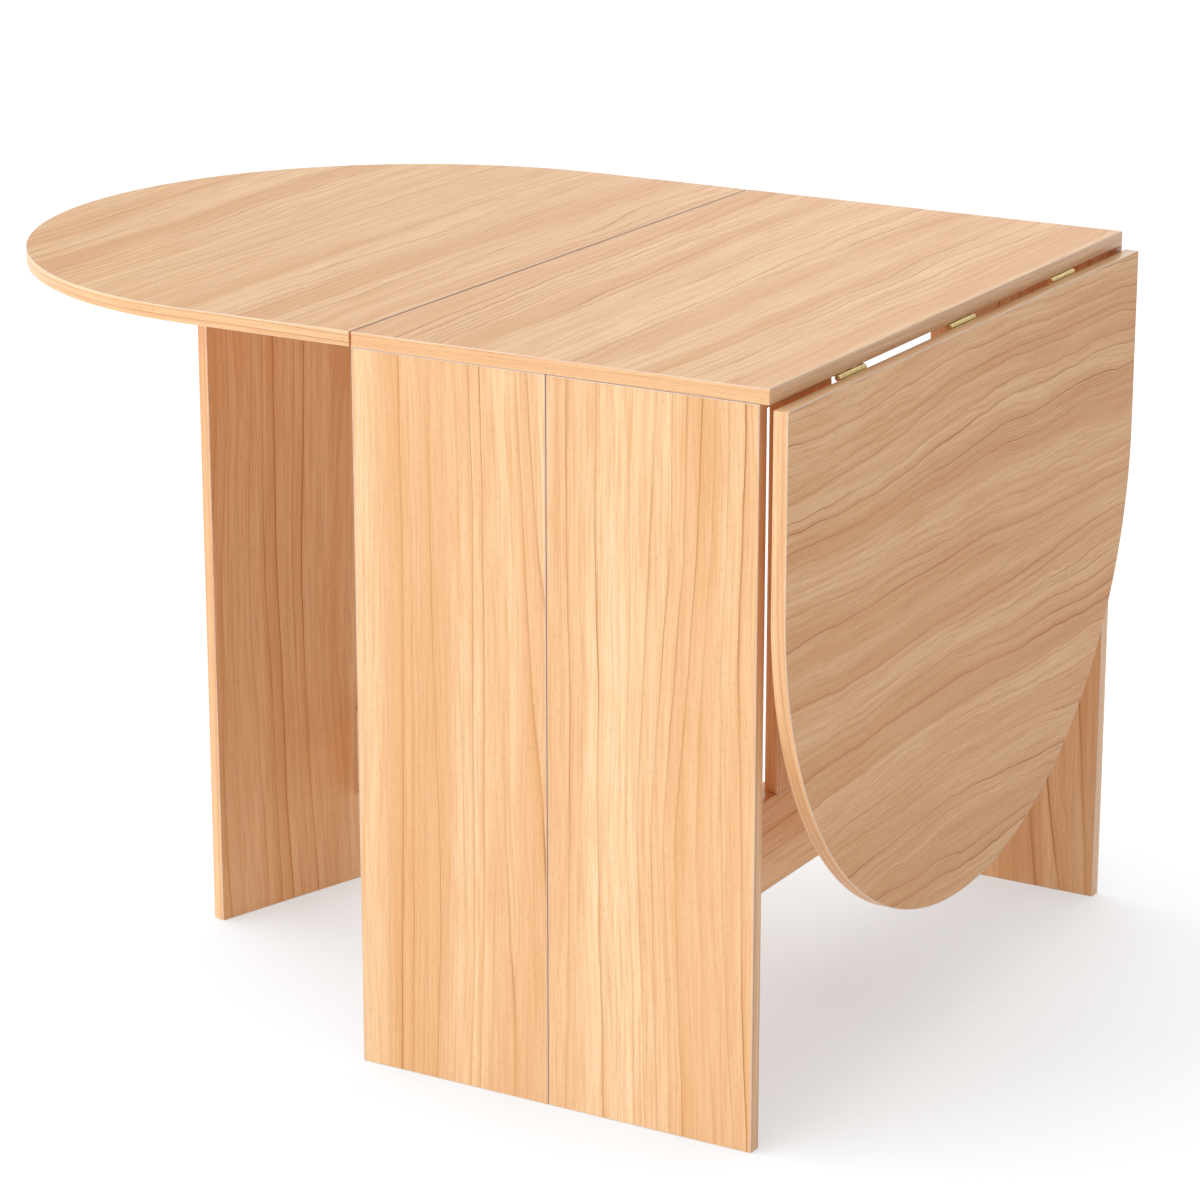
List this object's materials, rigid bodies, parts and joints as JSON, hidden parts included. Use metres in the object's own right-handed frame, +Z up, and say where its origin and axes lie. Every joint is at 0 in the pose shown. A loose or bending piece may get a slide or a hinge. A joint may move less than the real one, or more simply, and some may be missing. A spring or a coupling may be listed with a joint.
{
  "type": "gateleg table",
  "caption": "Narrow-centre gateleg table in pale laminated board, with half-round drop leaves on swinging gates, shown with its left side open.",
  "frame": {"origin": "on the floor, in the middle of the footprint that the table has with its left leaf raised and its right leaf hanging", "axes": "+X from the raised left leaf to the hanging right leaf, -Y is the front, +Z up"},
  "size_m": [1.061, 0.8, 0.75],
  "materials": {
    "top_board": "satin laminate with straight grain from front to back",
    "panel_board": "satin laminate with upright grain",
    "rail_board": "satin laminate with grain along the rail",
    "brass": "polished, lightly handled",
    "steel": "zinc-plated, dull"
  },
  "bodies": {
    "frame": {"centre_top": "top_board", "spine_lower_rail": "rail_board", "spine_upper_rail": "rail_board", "front_end_panel": "panel_board", "back_end_panel": "panel_board", "left_lower_half_rail": "rail_board", "left_lower_half_rail_cam": "steel", "left_gate_hinge_lower_fixed_plate": "brass", "left_gate_hinge_lower_pin": "brass", "left_upper_half_rail": "rail_board", "left_upper_half_rail_cam": "steel", "left_gate_hinge_upper_fixed_plate": "brass", "left_gate_hinge_upper_pin": "brass", "left_top_bracket": "steel", "left_leaf_hinge_front_fixed_plate": "brass", "left_leaf_hinge_front_pin": "brass", "left_leaf_hinge_middle_fixed_plate": "brass", "left_leaf_hinge_middle_pin": "brass", "left_leaf_hinge_back_fixed_plate": "brass", "left_leaf_hinge_back_pin": "brass", "right_lower_half_rail": "rail_board", "right_lower_half_rail_cam": "steel", "right_gate_hinge_lower_fixed_plate": "brass", "right_gate_hinge_lower_pin": "brass", "right_upper_half_rail": "rail_board", "right_upper_half_rail_cam": "steel", "right_gate_hinge_upper_fixed_plate": "brass", "right_gate_hinge_upper_pin": "brass", "right_top_bracket": "steel", "right_leaf_hinge_front_fixed_plate": "brass", "right_leaf_hinge_front_pin": "brass", "right_leaf_hinge_middle_fixed_plate": "brass", "right_leaf_hinge_middle_pin": "brass", "right_leaf_hinge_back_fixed_plate": "brass", "right_leaf_hinge_back_pin": "brass"},
    "left_gate": {"left_gate_lower_rail": "rail_board", "left_gate_lower_rail_cam": "steel", "left_gate_hinge_lower_gate_plate": "brass", "left_gate_upper_rail": "rail_board", "left_gate_upper_rail_cam": "steel", "left_gate_hinge_upper_gate_plate": "brass", "left_gate_leg": "panel_board", "left_gate_stile": "rail_board"},
    "right_gate": {"right_gate_lower_rail": "rail_board", "right_gate_lower_rail_cam": "steel", "right_gate_hinge_lower_gate_plate": "brass", "right_gate_upper_rail": "rail_board", "right_gate_upper_rail_cam": "steel", "right_gate_hinge_upper_gate_plate": "brass", "right_gate_leg": "panel_board", "right_gate_stile": "rail_board"},
    "left_leaf": {"left_leaf": "top_board", "left_leaf_hinge_front_leaf_plate": "brass", "left_leaf_hinge_middle_leaf_plate": "brass", "left_leaf_hinge_back_leaf_plate": "brass"},
    "right_leaf": {"right_leaf": "top_board", "right_leaf_hinge_front_leaf_plate": "brass", "right_leaf_hinge_middle_leaf_plate": "brass", "right_leaf_hinge_back_leaf_plate": "brass"}
  },
  "joints": [
    {"name": "left_gate_swing", "type": "hinge", "parent": "frame", "child": "left_gate", "pos_m": [0.261, -0.124, 0.15], "axis": [0, 0, 1], "range_deg": [-73.3, 16.7]},
    {"name": "right_gate_swing", "type": "hinge", "parent": "frame", "child": "right_gate", "pos_m": [0.312, 0.124, 0.15], "axis": [0, 0, 1], "range_deg": [0, 1.2]},
    {"name": "left_leaf_fold", "type": "hinge", "parent": "frame", "child": "left_leaf", "pos_m": [0.0605, 0, 0.732], "axis": [0, 1, 0], "range_deg": [0, 5]},
    {"name": "right_leaf_fold", "type": "hinge", "parent": "frame", "child": "right_leaf", "pos_m": [0.5125, 0, 0.732], "axis": [0, -1, 0], "range_deg": [0, 95]}
  ]
}
